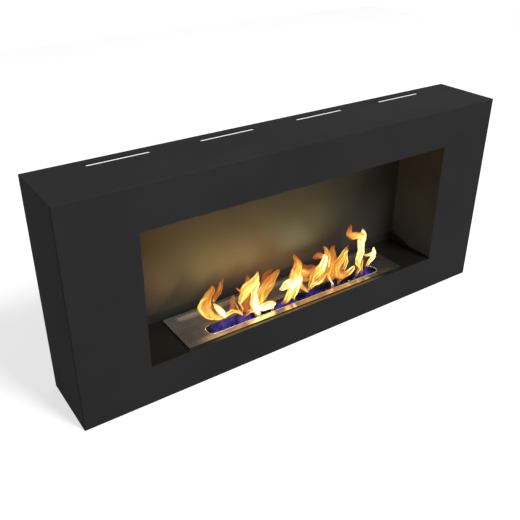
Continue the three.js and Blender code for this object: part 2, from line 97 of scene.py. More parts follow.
class Finish:
    """A finish: a material, whose nodes it writes, and the slot of the record that it is meant for."""

    slot: Slot | None = None

    def write(self) -> None:
        """Writes the material's nodes."""
        raise NotImplementedError

    def material(self) -> bpy.types.Material:
        """Makes the material, once.

        Returns:
            The material.
        """
        name = type(self).__name__
        if name not in bpy.data.materials:
            bpy.data.materials.new(name).use_nodes = True
            self.write()
        return bpy.data.materials[name]

    def dress(self, piece: bpy.types.Object) -> None:
        """Puts the finish on every face of a piece.

        Args:
            piece: the piece, a CAD node among them.
        """
        if not piece.material_slots:
            piece.data.materials.append(None)
        for each in piece.material_slots:
            each.material = self.material()

    def dress_nodes(self, *starts: str) -> None:
        """Dresses the CAD nodes whose names start with any of some words.

        Args:
            starts: the words.
        """
        for name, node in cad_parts.items():
            if name.startswith(starts):
                self.dress(node)

    @property
    def tree(self) -> bpy.types.NodeTree:
        """The material's nodes."""
        return bpy.data.materials[type(self).__name__].node_tree

    def add(self, kind: str, inputs: dict | None = None, **settings: object) -> bpy.types.Node:
        """Adds one node.

        Args:
            kind: the node's type, without its ShaderNode prefix.
            inputs: values or sockets for its inputs, by name or number.
            settings: the node's own settings.

        Returns:
            The node.
        """
        node = self.tree.nodes.new(f"ShaderNode{kind}")
        for key, value in settings.items():
            setattr(node, key, value)
        self.feed(node, inputs or {})
        return node

    def feed(self, node: bpy.types.Node, inputs: dict) -> None:
        """Sets a node's inputs.

        Args:
            node: the node.
            inputs: values or sockets, by name or number.
        """
        for key, value in inputs.items():
            if isinstance(value, Socket):
                self.tree.links.new(value, node.inputs[key])
            else:
                node.inputs[key].default_value = value

    def surface(self, inputs: dict) -> None:
        """Sets the shader's inputs, by name."""
        self.feed(self.tree.nodes["Principled BSDF"], inputs)

    def place(self, stretch: Point = (1, 1, 1)) -> Socket:
        """The piece's own coordinates, in metres.

        Args:
            stretch: what each coordinate is multiplied by.

        Returns:
            A vector socket.
        """
        own = self.add("TexCoord").outputs["Object"]
        return self.add("Mapping", {"Vector": own, "Scale": stretch}).outputs["Vector"]

    def part(self, axis: str, vector: Socket) -> Socket:
        """The X, Y or Z of a vector."""
        return self.add("SeparateXYZ", {"Vector": vector}).outputs[axis]

    def noise(self, at: Socket, scale: float, detail: float = 2.0, rough: float = 0.5) -> Socket:
        """Cloudy noise about 0.5.

        Args:
            at: where it is read.
            scale: blotches to a unit of at.
            detail: finer layers.
            rough: how strong the finer layers are.

        Returns:
            A value socket.
        """
        inputs = {"Vector": at, "Scale": scale, "Detail": detail, "Roughness": rough}
        return self.add("TexNoise", inputs).outputs["Fac"]

    def spread(self, value: Socket, to: Pair, of: Pair = (0.3, 0.7)) -> Socket:
        """Maps a value to a range, and holds it inside.

        Args:
            value: what is mapped.
            to: the results at the two ends of its range.
            of: the two ends.

        Returns:
            A value socket.
        """
        inputs = {"Value": value, "From Min": of[0], "From Max": of[1], "To Min": to[0], "To Max": to[1]}
        return self.add("MapRange", inputs).outputs["Result"]

    def within(self, value: Socket, edge: Pair) -> Socket:
        """1 where a value is below the edge, fading to 0 across it."""
        return self.spread(value, (1.0, 0.0), edge)

    def ramp(self, value: Socket, stops: dict[float, Colour]) -> Socket:
        """Colours by value.

        Args:
            value: from 0 to 1.
            stops: the colour at each of some values.

        Returns:
            A colour socket.
        """
        node = self.add("ValToRGB", {"Fac": value})
        elements = node.color_ramp.elements
        while len(elements) < len(stops):
            elements.new(0.5)
        for element, (position, colour) in zip(elements, sorted(stops.items())):
            element.position = position
            element.color = (*colour, 1)
        return node.outputs["Color"]

    def mix(self, share: Socket, first: Socket | Colour, second: Socket | Colour) -> Socket:
        """Mixes two colours.

        Args:
            share: how much of the second there is, from 0 to 1.
            first: a colour.
            second: another.

        Returns:
            A colour socket.
        """
        inputs = {"Factor": share}
        for number, colour in ((6, first), (7, second)):
            inputs[number] = colour if isinstance(colour, Socket) else (*colour, 1)
        return self.add("Mix", inputs, data_type="RGBA").outputs[2]

    def math(self, operation: str, a: Socket | float, b: Socket | float = 0.0) -> Socket:
        """Works two values together.

        Args:
            operation: the Math node's operation.
            a: the first value.
            b: the second value, where the operation has one.

        Returns:
            A value socket.
        """
        return self.add("Math", {0: a, 1: b}, operation=operation).outputs[0]

    def bump(self, height: Socket, distance: float, over: Socket | None = None) -> Socket:
        """Raises the surface by a height between 0 and 1.

        Args:
            height: the height.
            distance: what a height of 1 is, in metres.
            over: the normals of a bump that this one goes on.

        Returns:
            A normal socket.
        """
        inputs = {"Height": height, "Distance": distance}
        if over is not None:
            inputs["Normal"] = over
        return self.add("Bump", inputs).outputs["Normal"]


@dataclass(frozen=True)
class PowderCoat(Finish):
    """Fine matt black powder coat, with a grain that just breaks the light."""

    slot: Slot = Slot.POWDER
    dark: Colour = (0.0245, 0.0245, 0.0250)
    pale: Colour = (0.0275, 0.0275, 0.0280)
    cloud: float = 7.0
    grain: float = 1600.0
    grain_height: float = 0.05 * MM
    peel: float = 260.0
    peel_height: float = 0.08 * MM
    rough: Pair = (0.52, 0.66)
    gloss: float = 0.006

    def write(self) -> None:
        """Writes the material's nodes."""
        at = self.place()
        grain = self.noise(at, self.grain)
        peel = self.bump(self.noise(at, self.peel), self.peel_height)
        self.surface({
            "Base Color": self.ramp(self.noise(at, self.cloud), {0.35: self.dark, 0.65: self.pale}),
            "Roughness": self.spread(grain, self.rough),
            "Specular IOR Level": self.gloss,
            "Normal": self.bump(grain, self.grain_height, peel),
        })


@dataclass(frozen=True)
class SatinEnamel(Finish):
    """Smooth satin black heatproof paint, which shows the fire as a soft glow."""

    slot: Slot = Slot.ENAMEL
    dark: Colour = (0.0225, 0.0216, 0.0203)
    pale: Colour = (0.0275, 0.0264, 0.0248)
    cloud: float = 9.0
    peel: float = 190.0
    peel_height: float = 0.06 * MM
    rough: Pair = (0.42, 0.5)
    gloss: float = 0.04

    def write(self) -> None:
        """Writes the material's nodes."""
        at = self.place()
        cloud = self.noise(at, self.cloud, detail=3.0)
        self.surface({
            "Base Color": self.tint(self.ramp(cloud, {0.35: self.dark, 0.65: self.pale})),
            "Roughness": self.spread(cloud, self.rough),
            "Specular IOR Level": self.gloss,
            "Normal": self.bump(self.noise(at, self.peel), self.peel_height),
        })

    def tint(self, paint: Socket) -> Socket:
        """The painted glow of the fire on the paint: none here."""
        return paint


@dataclass(frozen=True)
class ShadedBackEnamel(SatinEnamel):
    """The same paint on the back of the niche, made darker as painted shade."""

    # painted shade: a darker copy of the lining paint
    dark: Colour = (0.0195, 0.0187, 0.0176)
    pale: Colour = (0.0240, 0.0230, 0.0216)


@dataclass(frozen=True)
class FloorShadeAndGlowEnamel(SatinEnamel):
    """The same paint under the flames, made much darker as painted shade, wiped to a gloss, and with a
    painted reflection of the fire's glow at its front.
    """

    # painted shade: a much darker copy of the lining paint for the floor of the niche
    dark: Colour = (0.0078, 0.0071, 0.0058)
    pale: Colour = (0.0100, 0.0091, 0.0075)
    gloss: float = 0.45
    rough: Pair = (0.24, 0.32)
    # painted reflection of the fire's glow, on the floor in front of the burner
    painted_glow: Colour = (0.125, 0.090, 0.042)
    front_edge: Pair = (-0.0605, -0.0595)
    side_edges: Pair = (0.165, 0.205)

    def tint(self, paint: Socket) -> Socket:
        """The paint's colour, with a painted reflection of the fire's glow in front of the burner.

        Args:
            paint: the colour of the paint, darkened as painted shade.

        Returns:
            A colour socket.
        """
        place = self.place()
        in_front = self.within(self.part("Y", place), self.front_edge)
        from_middle = self.math("ABSOLUTE", self.part("X", place))
        between = self.within(from_middle, self.side_edges)
        # painted reflection of the fire's glow
        return self.mix(self.math("MULTIPLY", in_front, between), paint, self.painted_glow)


@dataclass(frozen=True)
class BrushedStainless(Finish):
    """Stainless steel, brushed along the length of the fireplace."""

    slot: Slot = Slot.STEEL
    cool: Colour = (0.375, 0.36, 0.345)
    straw: Colour = (0.41, 0.36, 0.29)
    handling: float = 14.0
    line: float = 2200.0
    line_stretch: float = 0.006
    line_height: float = 0.012 * MM
    line_wear: Pair = (0.85, 1.2)
    rough: Pair = (0.25, 0.32)
    anisotropy: float = 0.75
    metal: float = 1.0

    def write(self) -> None:
        """Writes the material's nodes."""
        brushed = self.place((self.line_stretch, 1, 1))
        lines = self.noise(brushed, self.line, detail=3.0, rough=0.6)
        handling = self.noise(self.place(), self.handling, detail=4.0, rough=0.6)
        wear = self.spread(lines, self.line_wear)
        self.surface({
            "Base Color": self.tint(self.ramp(handling, {0.3: self.cool, 0.8: self.straw})),
            "Metallic": self.metal,
            "Roughness": self.math("MULTIPLY", wear, self.spread(handling, self.rough)),
            "Anisotropic": self.anisotropy,
            "Tangent": self.add("CombineXYZ", {"Y": 0.7, "Z": 0.7}).outputs["Vector"],
            "Normal": self.bump(lines, self.line_height),
        })

    def tint(self, steel: Socket) -> Socket:
        """The heat tint and painted reflections, highlights and shade on the steel: none here."""
        return steel


@dataclass(frozen=True)
class HeatTintAndGlowStainless(BrushedStainless):
    """The same steel, heat-tinted and with a painted reflection of the fire's glow in gold round the slot and
    along the front margin, and with painted shade on its edges.
    """

    # heat tint and painted reflection of the fire's glow, round the slot and along the front margin
    gold: Colour = (0.90, 0.74, 0.48)
    slot_line: float = -0.038
    beside_slot: Pair = (0.020, 0.030)
    slot_ends: Pair = (0.165, 0.210)
    margin: Pair = (-0.047, -0.044)
    margin_ends: Pair = (0.205, 0.234)
    # painted shade: darker on the faces that don't face up
    shaded_sides: Colour = (0.10, 0.085, 0.06)
    facing_up: Pair = (0.2, 0.8)

    def tint(self, steel: Socket) -> Socket:
        """The steel's colour with its heat tint, a painted reflection of the fire's glow, and painted shade
        on the faces that don't face up.

        Args:
            steel: the colour of the cold steel.

        Returns:
            A colour socket.
        """
        place = self.place()
        across = self.part("Y", place)
        from_middle = self.math("ABSOLUTE", self.part("X", place))
        from_slot = self.math("ABSOLUTE", self.math("SUBTRACT", across, self.slot_line))
        shares = []
        for aside, edge, ends in (
            (from_slot, self.beside_slot, self.slot_ends),
            (across, self.margin, self.margin_ends),
        ):
            inside = self.within(aside, edge)
            shares.append(self.math("MULTIPLY", inside, self.within(from_middle, ends)))
        face = self.mix(self.math("MAXIMUM", *shares), steel, self.gold)
        # painted shade on the faces that don't face up
        upward = self.part("Z", self.add("NewGeometry").outputs["Normal"])
        return self.mix(self.spread(upward, (0.0, 1.0), self.facing_up), self.shaded_sides, face)


@dataclass(frozen=True)
class HighlightedStainless(BrushedStainless):
    """The same steel on the pressed step, with a painted highlight that grows towards its ridge."""

    # painted highlight: the light strip along the back of the plate
    bright: Colour = (0.95, 0.77, 0.56)
    slope: Pair = (0.015, 0.028)

    def tint(self, steel: Socket) -> Socket:
        """The steel's colour, with a painted highlight brighter up the slope.

        Args:
            steel: the colour of the steel elsewhere.

        Returns:
            A colour socket.
        """
        highlit = self.spread(self.part("Y", self.place()), (0.0, 1.0), self.slope)
        return self.mix(highlit, steel, self.bright)


@dataclass(frozen=True)
class BeadStainless(HighlightedStainless):
    """The same steel on the bead round the slot, half metal and pale all along: a painted highlight."""

    metal: float = 0.4
    # painted highlight: a pale colour all along the bead
    bright: Colour = (0.48, 0.44, 0.38)
    slope: Pair = (-0.2, -0.1)


@dataclass(frozen=True)
class DarkBrownStainless(BrushedStainless):
    """The same steel inside the burner, darker and browner."""

    cool: Colour = (0.10, 0.095, 0.09)
    straw: Colour = (0.16, 0.12, 0.085)


@dataclass(frozen=True)
class ZincPlate(Finish):
    """Dull zinc plating, with the faint blotches and straw tinge of its passivation."""

    slot: Slot = Slot.ZINC
    blue: Colour = (0.42, 0.44, 0.46)
    straw: Colour = (0.50, 0.47, 0.36)
    blotch: float = 90.0
    crystal: float = 900.0
    crystal_height: float = 0.03 * MM
    rough: Pair = (0.36, 0.52)

    def write(self) -> None:
        """Writes the material's nodes."""
        at = self.place()
        blotch = self.noise(at, self.blotch, detail=4.0, rough=0.65)
        crystal = self.noise(at, self.crystal, detail=3.0)
        self.surface({
            "Base Color": self.ramp(blotch, {0.35: self.blue, 0.7: self.straw}),
            "Metallic": 1.0,
            "Roughness": self.spread(blotch, self.rough),
            "Normal": self.bump(crystal, self.crystal_height),
        })


@dataclass(frozen=True)
class CeramicFibre(Finish):
    """Matted white ceramic fibre, scorched a little on top."""

    slot: Slot = Slot.WOOL
    white: Colour = (0.74, 0.72, 0.67)
    shade: Colour = (0.52, 0.49, 0.43)
    matting: float = 420.0
    flattened: Point = (1, 1, 2.5)
    height: float = 0.6 * MM
    rough: Pair = (0.88, 1.0)
    gloss: float = 0.2
    sheen: float = 0.15

    def write(self) -> None:
        """Writes the material's nodes."""
        mat = self.noise(self.place(self.flattened), self.matting, detail=6.0, rough=0.7)
        self.surface({
            "Base Color": self.ramp(mat, {0.3: self.shade, 0.6: self.white}),
            "Roughness": self.spread(mat, self.rough),
            "Specular IOR Level": self.gloss,
            "Sheen Weight": self.sheen,
            "Normal": self.bump(mat, self.height),
        })


@dataclass(frozen=True)
class GlassTape(Finish):
    """Black woven glass-fibre tape."""

    slot: Slot = Slot.TAPE
    black: Colour = (0.010, 0.010, 0.010)
    grey: Colour = (0.035, 0.034, 0.033)
    thread: float = 0.8 * MM
    height: float = 0.2 * MM
    rough: Pair = (0.95, 0.7)
    gloss: float = 0.3

    def write(self) -> None:
        """Writes the material's nodes."""
        turn = math.tau / self.thread
        place = self.place((turn, turn, turn))
        weft, warp = (self.math("SINE", self.part(axis, place)) for axis in ("X", "Y"))
        weave = self.spread(self.math("MULTIPLY", weft, warp), (0.0, 1.0), (-1.0, 1.0))
        self.surface({
            "Base Color": self.ramp(weave, {0.2: self.black, 0.9: self.grey}),
            "Roughness": self.spread(weave, self.rough, (0.0, 1.0)),
            "Specular IOR Level": self.gloss,
            "Normal": self.bump(weave, self.height),
        })


@dataclass(frozen=True)
class FlameGlow(Finish):
    """Burning vapour: deep orange and clear where it is thin, pale yellow where it is thick."""

    ember: Colour = (0.40, 0.050, 0.014)
    orange: Colour = (0.80, 0.185, 0.034)
    amber: Colour = (1.0, 0.43, 0.070)
    yellow: Colour = (1.0, 0.76, 0.145)
    pale: Colour = (1.0, 0.93, 0.60)
    streaks: Pair = (0.74, 1.13)
    strength: Pair = (0.9, 3.2)
    strength_at: Pair = (0.5, 1.15)
    cover: Pair = (0.0, 0.9)
    cover_at: Pair = (0.03, 0.6)

    def write(self) -> None:
        """Writes the material's nodes."""
        heat = self.add("Attribute", attribute_name=HEAT).outputs["Fac"]
        flow = self.add("Attribute", attribute_name=FLOW).outputs["Vector"]
        streak = self.spread(self.noise(flow, 1.0, detail=1.0), self.streaks)
        hot = self.math("MULTIPLY", heat, streak)
        stops = {0.08: self.ember, 0.3: self.orange, 0.5: self.amber, 0.72: self.yellow, 1.0: self.pale}
        self.surface({
            "Base Color": BLACK,
            "Specular IOR Level": 0.0,
            "Roughness": 1.0,
            "Emission Color": self.ramp(hot, stops),
            "Emission Strength": self.spread(hot, self.strength, self.strength_at),
            "Alpha": self.spread(hot, self.cover, self.cover_at),
        })


@dataclass(frozen=True)
class BlueFlame(Finish):
    """The low blue and violet flames where the vapour leaves the slot."""

    dark: Colour = (0.006, 0.005, 0.012)
    dim: Colour = (0.014, 0.010, 0.060)
    blue: Colour = (0.045, 0.036, 0.250)
    violet: Colour = (0.150, 0.060, 0.210)
    patch: float = 75.0
    upright: Point = (1, 1, 0.6)
    patches: Pair = (0.25, 1.15)
    strength: Pair = (0.8, 1.2)
    cover: Pair = (0.75, 0.92)

    def write(self) -> None:
        """Writes the material's nodes."""
        patch = self.noise(self.place(self.upright), self.patch, detail=1.5)
        heat = self.add("Attribute", attribute_name=HEAT).outputs["Fac"]
        glow = self.part("X", self.add("Attribute", attribute_name=FLOW).outputs["Vector"])
        lit = self.math("MULTIPLY", glow, self.spread(patch, self.patches))
        stops = {0.06: self.dark, 0.3: self.dim, 0.6: self.blue, 0.95: self.violet}
        self.surface({
            "Base Color": BLACK,
            "Specular IOR Level": 0.0,
            "Roughness": 1.0,
            "Emission Color": self.ramp(lit, stops),
            "Emission Strength": self.spread(patch, self.strength),
            "Alpha": self.math("MULTIPLY", heat, self.spread(lit, self.cover)),
        })


@dataclass(frozen=True)
class PaperFloor(Finish):
    """Pale studio paper that keeps the object's shadow and otherwise shows as white."""

    paper: Colour = (0.56, 0.56, 0.56)
    shade: Colour = (0.54, 0.54, 0.54)
    fibre: float = 3.0
    lift: float = 0.65

    def write(self) -> None:
        """Writes the material's nodes."""
        fibre = self.noise(self.place(), self.fibre)
        path = self.add("LightPath")
        seen = self.math("MAXIMUM", path.outputs["Is Camera Ray"], path.outputs["Is Glossy Ray"])
        self.surface({
            "Base Color": self.ramp(fibre, {0.3: self.shade, 0.7: self.paper}),
            "Roughness": 1.0,
            "Specular IOR Level": 0.0,
            "Emission Color": WHITE,
            "Emission Strength": self.math("MULTIPLY", seen, self.lift),
        })


# ---- Helpers


def wander(x: float, y: float, z: float) -> float:
    """Smooth noise about 0 at a point."""
    return noise.noise(Vector((x, y, z)))


def clamp(value: float) -> float:
    """A value held between 0 and 1."""
    return min(1.0, max(0.0, value))


def put(name: str, data: bpy.types.ID) -> bpy.types.Object:
    """Puts a new object into the scene.

    Args:
        name: its name.
        data: its mesh, lamp or camera.

    Returns:
        The object.
    """
    made = bpy.data.objects.new(name, data)
    bpy.context.scene.collection.objects.link(made)
    return made


def add_lamp(name: str, place: Point, sides: Pair, watts: float, colour: Colour) -> bpy.types.Object:
    """Puts a rectangular lamp into the scene.

    Args:
        name: its name.
        place: where it is.
        sides: its length and width.
        watts: its power.
        colour: its colour.

    Returns:
        The lamp, facing down.
    """
    data = bpy.data.lights.new(name, "AREA")
    data.shape = "RECTANGLE"
    data.size, data.size_y = sides
    data.energy = watts
    data.color = colour
    lamp = put(name, data)
    lamp.location = place
    return lamp


class MeshMaker:
    """Points and faces of one piece, gathered ring by ring."""

    def __init__(self, name: str) -> None:
        """Starts an empty mesh.

        Args:
            name: the piece's name.
        """
        self.name = name
        self.points: list[Vector] = []
        self.faces: list[tuple[int, ...]] = []
        self.values: dict[str, list] = {}

    def ring(self, points: list[Vector], **values: list) -> range:
        """Adds points.

        Args:
            points: the points, in order.
            values: a value for each point, for each attribute of the mesh.

        Returns:
            Their numbers.
        """
        start = len(self.points)
        self.points += points
        for key, column in values.items():
            self.values.setdefault(key, []).extend(column)
        return range(start, len(self.points))

    def tube(self, rings: list[range]) -> None:
        """Joins rings one after another.

        Args:
            rings: the rings, all of as many points.
        """
        for low, high in zip(rings, rings[1:]):
            for i in range(len(low)):
                after = (i + 1) % len(low)
                self.faces.append((low[i], low[after], high[after], high[i]))

    def bar(self, rings: list[range]) -> None:
        """Joins rings one after another, and closes both ends.

        Args:
            rings: the rings, all of as many points.
        """
        self.faces.append(tuple(reversed(rings[0])))
        self.tube(rings)
        self.faces.append(tuple(rings[-1]))

    def piece(self, finish: Finish, body: Body, replaces: str | None = None) -> bpy.types.Object:
        """Makes the object.

        Args:
            finish: what it is dressed in.
            body: the body that it rides on.
            replaces: the CAD node that it stands for.

        Returns:
            The object.
        """
        mesh = bpy.data.meshes.new(self.name)
        mesh.from_pydata(self.points, [], self.faces)
        for key, column in self.values.items():
            kind, entry = ("FLOAT_VECTOR", "vector") if isinstance(column[0], Vector) else ("FLOAT", "value")
            attribute = mesh.attributes.new(key, kind, "POINT")
            for item, value in zip(attribute.data, column):
                setattr(item, entry, value)
        mesh.validate()
        mesh.shade_smooth()
        made = put(self.name, mesh)
        finish.dress(made)
        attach(made, body.value)
        if replaces:
            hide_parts(replaces)
        return made


def rounded_frame(low: Vector, high: Vector, radius: float, steps: int) -> list[tuple[Vector, Vector]]:
    """Points round a level rectangle with round corners.

    Args:
        low: its corner at the smallest x and y.
        high: its corner at the largest.
        radius: the radius of its corners.
        steps: points to a corner, and to a side.

    Returns:
        Each point with the direction that leads away from the rectangle there.
    """
    around = []
    quarter_turn = math.pi / 2
    centres = ((high.x, high.y), (low.x, high.y), (low.x, low.y), (high.x, low.y))
    signs = ((-1, -1), (1, -1), (1, 1), (-1, 1))
    for quarter, ((x, y), (to_x, to_y)) in enumerate(zip(centres, signs)):
        middle = Vector((x + to_x * radius, y + to_y * radius, low.z))
        for step in range(steps + 1):
            angle = quarter_turn * (quarter + step / steps)
            outward = Vector((math.cos(angle), math.sin(angle), 0))
            around.append((middle + outward * radius, outward))
    filled = []
    for (start, out), (end, _) in zip(around, around[1:] + around[:1]):
        filled.append((start, out))
        if (end - start).length > radius:
            filled += [(start.lerp(end, step / steps), out) for step in range(1, steps)]
    return filled


# ---- Casing and niche


@dataclass
class Casing:
    """The folded casing with its niche lining, as the CAD model has them."""

    coated: tuple[str, ...] = ("outer_casing",)
    painted: tuple[str, ...] = ("niche_left_panel", "niche_right_panel", "niche_ceiling_panel")
    shaded_back: tuple[str, ...] = ("niche_back_panel",)
    shaded_floor: tuple[str, ...] = ("niche_floor_panel",)

    def dress(self) -> None:
        """Coats the casing and paints the lining."""
        PowderCoat().dress_nodes(*self.coated)
        SatinEnamel().dress_nodes(*self.painted)
        # painted shade on the back of the niche
        ShadedBackEnamel().dress_nodes(*self.shaded_back)
        # painted shade on the floor of the niche, with a painted glow of the fire in front of the burner
        FloorShadeAndGlowEnamel().dress_nodes(*self.shaded_floor)


@dataclass
class Fixings:
    """Brackets, rivets and screws, which show from behind and through the top slots."""

    plated: tuple[str, ...] = ("hanging_bracket", "bracket_rivet", "back_panel_screw")

    def dress(self) -> None:
        """Plates the brackets and the fixings."""
        ZincPlate().dress_nodes(*self.plated)


# ---- Burner


@dataclass
class Burner:
    """The lift-out burner: its steel, its glass-fibre tape and its ceramic wool."""

    plate: str = "burner_top_plate"
    outside: tuple[str, ...] = ("drip_tray", "fuel_tank")
    inside: tuple[str, ...] = ("wool_grid", "shutter_rail", "shutter_plate")
    slot_corners: tuple[Point, Point] = ((-0.2, -0.0475, 0.078), (0.2, -0.0225, 0.078))
    slot_radius: float = 10 * MM
    bead_radius: float = 0.5 * MM
    bead_sides: int = 12
    bead_sunk: float = 0.1  # of its radius
    step_corners: tuple[Point, Point] = ((-0.234, 0.013, 0.078), (0.231, 0.0310, 0.078))
    step_height: float = 1.6 * MM
    step_fade: float = 30 * MM
    step_sunk: float = 0.15 * MM
    step_under: float = 0.45 * MM
    step_stations: int = 60
    step_profile: tuple[Pair, ...] = (  # share of its width, share of its height
        (0.0, 0.0), (0.15, 0.08), (0.4, 0.42), (0.7, 0.85), (0.9, 1.0), (0.98, 0.9), (1.0, 0.0),
    )
    tape_widths: Pair = (12 * MM, 4 * MM)  # measured along X and along Y
    tape_steps: int = 12
    tape_profile: tuple[Pair, ...] = (  # share of its width from outside, share of its thickness
        (0.0, 0.2), (0.08, 0.85), (0.3, 1.0), (0.7, 1.0), (0.92, 0.85), (1.0, 0.2), (0.9, 0.0), (0.1, 0.0),
    )
    wool_columns: int = 190
    wool_rows: int = 36
    wool_drop: float = 1.4 * MM
    wool_edge: float = 3 * MM
    wool_edge_columns: int = 4
    lump_height: float = 1.2 * MM
    lumps: tuple[Point, ...] = ((1.0, 90, 0), (0.5, 320, 5))  # share, lumps to a metre, seed

    def dress(self) -> None:
        """Brushes the steel."""
        # heat tint, painted reflection of the fire's glow and painted shade on the plate
        HeatTintAndGlowStainless().dress_nodes(self.plate)
        BrushedStainless().dress_nodes(*self.outside)
        # darker, browner steel for the parts inside the burner
        DarkBrownStainless().dress_nodes(*self.inside)

    def slot_rim(self) -> None:
        """Rolls a fine bead round the flame slot, on top of the plate."""
        low, high = (Vector(corner) for corner in self.slot_corners)
        maker = MeshMaker("flame_slot_rim")
        rings = []
        for centre, outward in rounded_frame(low, high, self.slot_radius, self.bead_sides):
            points = []
            for side in range(self.bead_sides):
                angle = math.tau * side / self.bead_sides
                rise = max(math.sin(angle), -self.bead_sunk) * self.bead_radius
                out = outward * self.bead_radius * (1 + math.cos(angle))
                points.append(centre + out + Vector((0, 0, rise)))
            rings.append(maker.ring(points))
        maker.tube([*rings, rings[0]])
        # painted highlight along the bead
        maker.piece(BeadStainless(), Body.BURNER)

    def rear_step(self) -> None:
        """Presses a shallow step along the back of the plate: a slope up from the front, then a drop."""
        low, high = (Vector(corner) for corner in self.step_corners)
        maker = MeshMaker("plate_rear_step")
        rings = []
        for station in range(self.step_stations + 1):
            x = low.x + (high.x - low.x) * station / self.step_stations
            end = min(1.0, (x - low.x) / self.step_fade, (high.x - x) / self.step_fade)
            height = (self.step_height + self.step_sunk) * end * end * (3 - 2 * end)
            points = [
                Vector((x, low.y + (high.y - low.y) * along, low.z - self.step_sunk + height * rise))
                for along, rise in self.step_profile
            ]
            points += [Vector((x, y, low.z - self.step_under)) for y in (high.y, low.y)]
            rings.append(maker.ring(points))
        maker.faces.append(tuple(rings[0]))
        maker.tube(rings)
        maker.faces.append(tuple(reversed(rings[-1])))
        # painted highlight along the step
        maker.piece(HighlightedStainless(), Body.BURNER)

    def tape(self) -> None:
        """Lays the tape that the top plate rests on, as a frame of crowned section."""
        maker = MeshMaker("glass_fibre_tape")
        rings = [maker.ring(self.tape_line(inward, rise)) for inward, rise in self.tape_profile]
        maker.tube([*rings, rings[0]])
        maker.piece(GlassTape(), Body.BURNER, "burner_gasket")

    def tape_line(self, inward: float, rise: float) -> list[Vector]:
        """One line round the tape.

        Args:
            inward: how far across the tape it runs, as a share of its width.
            rise: its height, as a share of the tape's thickness.

        Returns:
            The line's points.
        """
        low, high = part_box("burner_gasket")
        across, along = (width * inward for width in self.tape_widths)
        x0, x1 = low.x + across, high.x - across
        y0, y1 = low.y + along, high.y - along
        z = low.z + (high.z - low.z) * rise
        corners = [Vector((x, y, z)) for x, y in ((x0, y0), (x1, y0), (x1, y1), (x0, y1))]
        points = []
        for start, end in zip(corners, corners[1:] + corners[:1]):
            points += [start.lerp(end, step / self.tape_steps) for step in range(self.tape_steps)]
        return points

    def wool(self) -> None:
        """Lays the matted wool in the tank, with a lumpy top."""
        low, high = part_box("ceramic_wool_pad")
        columns, rows = self.wool_columns, self.wool_rows
        maker = MeshMaker("ceramic_wool")
        rings = []
        for row in range(rows + 1):
            y = low.y + (high.y - low.y) * row / rows
            top = []
            bottom = []
            for column in range(columns + 1):
                x = low.x + (high.x - low.x) * column / columns
                edge = min(column, columns - column, row * 2, (rows - row) * 2) / self.wool_edge_columns
                rounding = self.wool_edge * max(0.0, 1 - edge) ** 2
                lump = sum(share * wander(x * scale, y * scale, seed) for share, scale, seed in self.lumps)
                top.append(Vector((x, y, high.z - self.wool_drop - rounding + lump * self.lump_height)))
                bottom.append(Vector((x, y, low.z)))
            rings.append(maker.ring(top + bottom[::-1]))
        maker.bar(rings)
        piece = maker.piece(CeramicFibre(), Body.BURNER, "ceramic_wool_pad")


# ---- Fire


@dataclass(frozen=True)
class Lick:
    """One lick of flame: a line that rises and curls in the plane of the slot.

    line holds, for each of its points, x and z in millimetres and half the lick's width there. heat
    is how bright it burns at its start and at its end. An inner lick only brightens what it crosses.
    """

    line: tuple[Point, ...]
    heat: Pair
    inner: bool = False
    discs: int = 30
    swell: float = 1.06
    thinnest: float = 0.25

    def at(self, share: float) -> Vector:
        """A point of the line, smoothed between the points given.

        Args:
            share: from 0 at its start to 1 at its end.

        Returns:
            x, z and half the width, in millimetres.
        """
        spans = len(self.line) - 1
        span = min(int(share * spans), spans - 1)
        t = share * spans - span
        before, start, end, after = (
            Vector(self.line[min(max(span + step, 0), spans)]) for step in (-1, 0, 1, 2)
        )
        smooth = (
            start * 2
            + (end - before) * t
            + (before * 2 - start * 5 + end * 4 - after) * t**2
            + (start * 3 - before - end * 3 + after) * t**3
        )
        return smooth / 2

    def samples(self) -> np.ndarray:
        """The lick as a row of discs.

        Returns:
            For each disc x, z, radius, heat, length so far, and the line's direction there.
        """
        shares = [i / (self.discs - 1) for i in range(self.discs)]
        discs = np.array([self.at(share) for share in shares])
        discs[:, 2] = np.maximum(discs[:, 2] * self.swell, self.thinnest)
        steps = np.diff(discs[:, :2], axis=0, prepend=discs[:1, :2])
        length = np.cumsum(np.hypot(steps[:, 0], steps[:, 1]))
        along = np.gradient(discs[:, :2], axis=0)
        along /= np.maximum(np.hypot(along[:, 0], along[:, 1]), TINY)[:, None]
        heat = np.interp(shares, (0, 1), self.heat)
        return np.column_stack((discs, heat, length, along))


